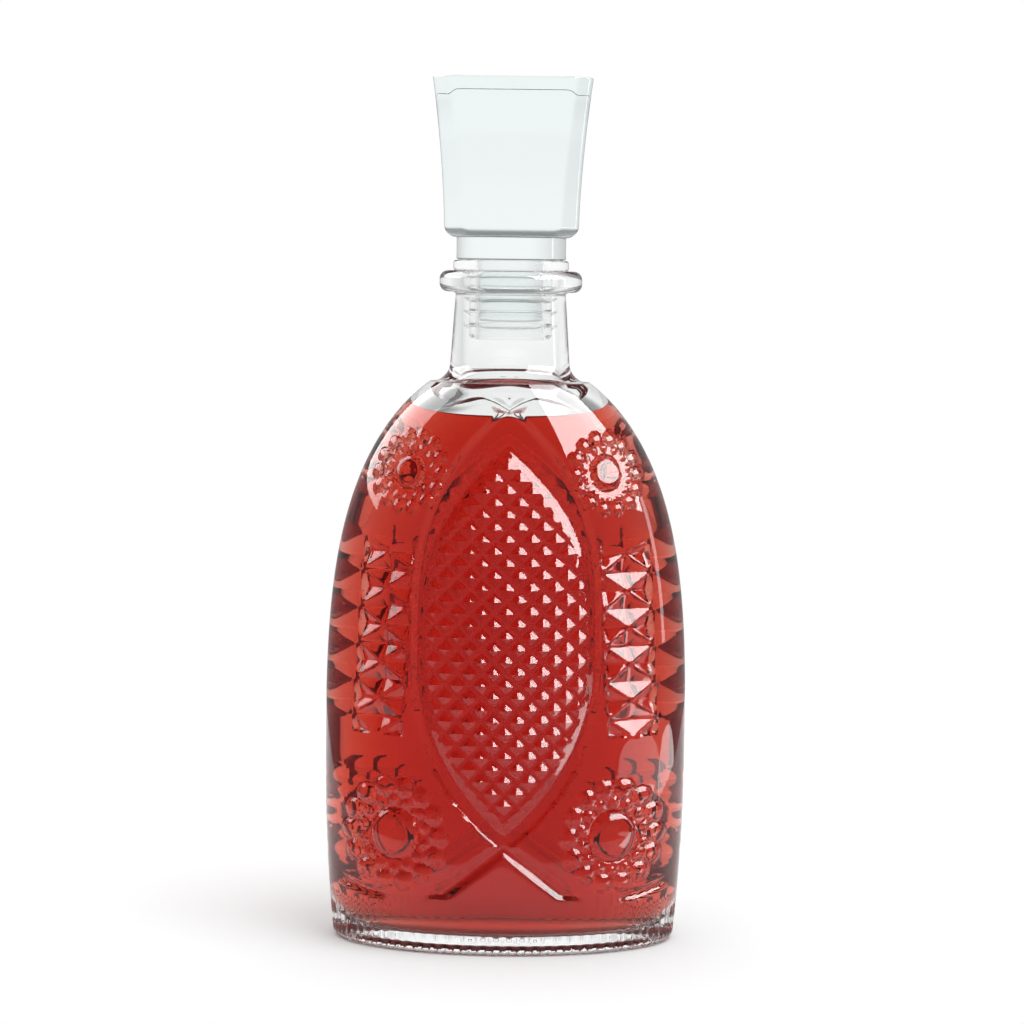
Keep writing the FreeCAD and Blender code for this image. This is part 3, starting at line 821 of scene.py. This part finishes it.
def new_material(name):
    """A new material and its Principled shader."""
    material = bpy.data.materials.new(name)
    material.use_nodes = True
    return material, material.node_tree.nodes["Principled BSDF"]


def link(material, source, target):
    """Links an output to an input."""
    material.node_tree.links.new(source, target)


def noise(material, scale, detail):
    """A noise over the object's own space."""
    nodes = material.node_tree.nodes
    place = nodes.new("ShaderNodeTexCoord")
    texture = nodes.new("ShaderNodeTexNoise")
    texture.inputs["Scale"].default_value = scale
    texture.inputs["Detail"].default_value = detail
    link(material, place.outputs["Object"], texture.inputs["Vector"])
    return texture.outputs["Fac"]


def hazy(material, shader, scale, low, high):
    """Varies a surface's roughness by a noise, from low to high."""
    node = material.node_tree.nodes.new("ShaderNodeMapRange")
    node.inputs["From Min"].default_value = NOISE_LOW
    node.inputs["From Max"].default_value = NOISE_HIGH
    node.inputs["To Min"].default_value = low
    node.inputs["To Max"].default_value = high
    link(material, noise(material, scale, NOISE_DETAIL), node.inputs["Value"])
    link(material, node.outputs["Result"], shader.inputs["Roughness"])


def wavy(material, shader, scale, distance):
    """Bumps a surface gently."""
    node = material.node_tree.nodes.new("ShaderNodeBump")
    node.inputs["Strength"].default_value = 1.0
    node.inputs["Distance"].default_value = distance
    link(material, noise(material, scale, WAVE_DETAIL), node.inputs["Height"])
    link(material, node.outputs["Normal"], shader.inputs["Normal"])


def glass(name, ior, tint):
    """Clear glass with a slight waviness and a faint haze in places."""
    material, shader = new_material(name)
    shader.inputs["Base Color"].default_value = tint
    shader.inputs["Transmission Weight"].default_value = 1.0
    shader.inputs["IOR"].default_value = ior
    hazy(material, shader, *GLASS_HAZE)
    wavy(material, shader, *GLASS_WAVES)
    return material


def absorb(material, density, colour):
    """Tints a body by its depth."""
    nodes = material.node_tree.nodes
    volume = nodes.new("ShaderNodeVolumeAbsorption")
    volume.inputs["Density"].default_value = density
    volume.inputs["Color"].default_value = colour
    link(material, volume.outputs["Volume"], nodes["Material Output"].inputs["Volume"])


def bottle_glass():
    """The bottle's glass where it meets the air."""
    return glass("bottle_glass", GLASS_IOR, BOTTLE_TINT)


def wetted_glass():
    """The bottle's glass where the liquid wets it: it bends light only as glass does against that liquid."""
    return glass("wetted_glass", GLASS_IOR / LIQUID_IOR, CLEAR)


def stopper_glass():
    """The stopper's solid glass, faintly tinted by its depth."""
    material = glass("stopper_glass", GLASS_IOR, STOPPER_TINT)
    absorb(material, STOPPER_DENSITY, STOPPER_COLOUR)
    return material


def red_liquid():
    """The red liquid: it bends light at its free surface, and nowhere that it wets the glass."""
    material, surface = new_material("red_liquid")
    nodes = material.node_tree.nodes
    wetting = nodes.new("ShaderNodeBsdfPrincipled")
    for shader, ior in ((surface, LIQUID_IOR), (wetting, 1.0)):
        shader.inputs["Base Color"].default_value = CLEAR
        shader.inputs["Transmission Weight"].default_value = 1.0
        shader.inputs["Roughness"].default_value = 0.0
        shader.inputs["IOR"].default_value = ior
    wavy(material, surface, *LIQUID_WAVES)
    mask = nodes.new("ShaderNodeAttribute")
    mask.attribute_name = "free_surface"
    mixed = nodes.new("ShaderNodeMixShader")
    link(material, mask.outputs["Fac"], mixed.inputs["Fac"])
    link(material, wetting.outputs["BSDF"], mixed.inputs[1])
    link(material, surface.outputs["BSDF"], mixed.inputs[2])
    link(material, mixed.outputs["Shader"], nodes["Material Output"].inputs["Surface"])
    absorb(material, LIQUID_DENSITY, LIQUID_COLOUR)
    return material


def seal_plastic():
    """Clear plastic with a faint haze."""
    material, shader = new_material("seal_plastic")
    shader.inputs["Base Color"].default_value = PLASTIC_COLOUR
    shader.inputs["Transmission Weight"].default_value = PLASTIC_CLEARNESS
    shader.inputs["IOR"].default_value = PLASTIC_IOR
    hazy(material, shader, *PLASTIC_HAZE)
    wavy(material, shader, *PLASTIC_WAVES)
    return material


def floor_white():
    """A plain pale floor."""
    material, shader = new_material("floor_white")
    shader.inputs["Base Color"].default_value = FLOOR_COLOUR
    shader.inputs["Specular IOR Level"].default_value = 0.0
    hazy(material, shader, *FLOOR_HAZE)
    return material


# Stage, light and camera

def make_floor():
    """A round white floor under the bottle."""
    right, back = STAGE_SHIFT
    points = [(right, back, 0)]
    for ring in range(1, STAGE_RINGS + 1):
        r = STAGE_RADIUS * ring / STAGE_RINGS
        for index in range(STAGE_COLUMNS):
            turn = 2 * math.pi * index / STAGE_COLUMNS
            points.append((right + r * math.cos(turn), back + r * math.sin(turn), 0))
    faces = [(0, 1 + i, 1 + (i + 1) % STAGE_COLUMNS) for i in range(STAGE_COLUMNS)]
    for ring in range(STAGE_RINGS - 1):
        start = 1 + ring * STAGE_COLUMNS
        made = row_faces(start, STAGE_COLUMNS, start + STAGE_COLUMNS, STAGE_COLUMNS)
        faces += [face[::-1] for face in made]
    floor = new_piece("floor", points, faces, [floor_white()], GLASS_CREASE)


def make_world():
    """White to the camera and through glass, dimmer to the sides, above, to the left and in reflections."""
    world = bpy.data.worlds.new("studio")
    bpy.context.scene.world = world
    world.use_nodes = True
    nodes = world.node_tree.nodes
    links = world.node_tree.links
    output = nodes["World Output"]
    path = nodes.new("ShaderNodeLightPath")
    place = nodes.new("ShaderNodeTexCoord")
    split = nodes.new("ShaderNodeSeparateXYZ")
    links.new(place.outputs["Generated"], split.inputs["Vector"])
    depth = nodes.new("ShaderNodeMath")
    depth.operation = "ABSOLUTE"
    links.new(split.outputs["Y"], depth.inputs[0])

    def fade(source, low, high, start, end):
        node = nodes.new("ShaderNodeMapRange")
        node.interpolation_type = "SMOOTHSTEP"
        node.inputs["From Min"].default_value = low
        node.inputs["From Max"].default_value = high
        node.inputs["To Min"].default_value = start
        node.inputs["To Max"].default_value = end
        links.new(source, node.inputs["Value"])
        return node.outputs["Result"]

    def times(first, second):
        node = nodes.new("ShaderNodeMath")
        node.operation = "MULTIPLY"
        links.new(first, node.inputs[0])
        if isinstance(second, float):
            node.inputs[1].default_value = second
        else:
            links.new(second, node.inputs[1])
        return node.outputs["Value"]

    def light(strength):
        node = nodes.new("ShaderNodeBackground")
        node.inputs["Color"].default_value = CLEAR
        if isinstance(strength, float):
            node.inputs["Strength"].default_value = strength
        else:
            links.new(strength, node.inputs["Strength"])
        return node.outputs["Background"]

    def choose(test, first, second):
        node = nodes.new("ShaderNodeMixShader")
        links.new(path.outputs[test], node.inputs["Fac"])
        links.new(first, node.inputs[1])
        links.new(second, node.inputs[2])
        return node.outputs["Shader"]

    around = times(fade(depth.outputs["Value"], *SIDE_FADE, WORLD_SIDE, 1.0),
                   fade(split.outputs["Z"], *TOP_FADE, 1.0, WORLD_TOP))
    around = times(around, fade(split.outputs["X"], *LEFT_FADE, WORLD_LEFT, 1.0))
    shader = choose("Is Glossy Ray", light(WORLD_DIFFUSE), light(times(around, WORLD_GLOSSY)))
    shader = choose("Is Transmission Ray", shader, light(around))
    shader = choose("Is Camera Ray", shader, light(1.0))
    links.new(shader, output.inputs["Surface"])


def softbox(name, shape, turn, lift, width, height, radiance,
            target=SOFTBOX_TARGET, distance=SOFTBOX_DISTANCE):
    """A softbox turned to the right of the front and lifted, by degrees. It shows only as a reflection."""
    data = bpy.data.lights.new(name, "AREA")
    data.shape = shape
    data.size = width
    data.size_y = height
    area = width * height * (math.pi / 4 if shape == "ELLIPSE" else 1)
    data.energy = radiance * math.pi * area
    box = bpy.data.objects.new(name, data)
    turn, lift = math.radians(turn), math.radians(lift)
    direction = Vector((math.cos(lift) * math.sin(turn), -math.cos(lift) * math.cos(turn), math.sin(lift)))
    box.location = target + direction * distance
    box.rotation_euler = direction.to_track_quat("Z", "Y").to_euler()
    box.visible_camera = False
    box.visible_diffuse = False
    box.visible_transmission = False
    bpy.context.scene.collection.objects.link(box)


def make_lights():
    """Softboxes for the glints, and a soft key from above."""
    softbox("main_softbox", "RECTANGLE", *MAIN_SOFTBOX)
    softbox("side_softbox", "RECTANGLE", *SIDE_SOFTBOX)
    softbox("back_softbox", "RECTANGLE", *BACK_SOFTBOX)
    softbox("low_softbox", "ELLIPSE", *LOW_SOFTBOX)
    softbox("haze_softbox", "ELLIPSE", *HAZE_SOFTBOX)
    softbox("floor_card", "RECTANGLE", *FLOOR_CARD, FLOOR_CARD_OVER, FLOOR_CARD_DROP)
    data = bpy.data.lights.new("key", "SUN")
    data.energy = KEY_STRENGTH
    data.angle = math.radians(KEY_ANGLE)
    key = bpy.data.objects.new("key", data)
    key.rotation_euler = KEY_FROM.to_track_quat("Z", "Y").to_euler()
    key.visible_glossy = False
    key.visible_transmission = False
    bpy.context.scene.collection.objects.link(key)


def make_camera():
    """A camera at the height of the lip, looking slightly down at the front."""
    data = bpy.data.cameras.new("camera")
    data.lens = CAMERA_LENS
    data.sensor_width = CAMERA_SENSOR
    camera = bpy.data.objects.new("camera", data)
    back = Vector((0, -math.cos(CAMERA_TILT), math.sin(CAMERA_TILT)))
    level_up = Vector((0, math.sin(CAMERA_TILT), math.cos(CAMERA_TILT)))
    level_right = Vector((1, 0, 0))
    up = level_up * math.cos(CAMERA_ROLL) - level_right * math.sin(CAMERA_ROLL)
    right = level_right * math.cos(CAMERA_ROLL) + level_up * math.sin(CAMERA_ROLL)
    turn = Matrix((right, up, back)).transposed().to_4x4()
    camera.matrix_world = Matrix.Translation((CAMERA_SHIFT, -CAMERA_DISTANCE, CAMERA_HEIGHT)) @ turn
    bpy.context.scene.collection.objects.link(camera)
    bpy.context.scene.camera = camera


def set_render():
    """Plain colours, and enough bounces for liquid in glass."""
    scene = bpy.context.scene
    scene.view_settings.view_transform = "Standard"
    scene.cycles.max_bounces = MOST_BOUNCES
    scene.cycles.transmission_bounces = MOST_BOUNCES
    scene.cycles.glossy_bounces = GLOSSY_BOUNCES
    scene.cycles.sample_clamp_indirect = CLAMP


make_bottle()
make_liquid()
make_sleeve()
make_stopper()
make_floor()
make_world()
make_lights()
make_camera()
set_render()
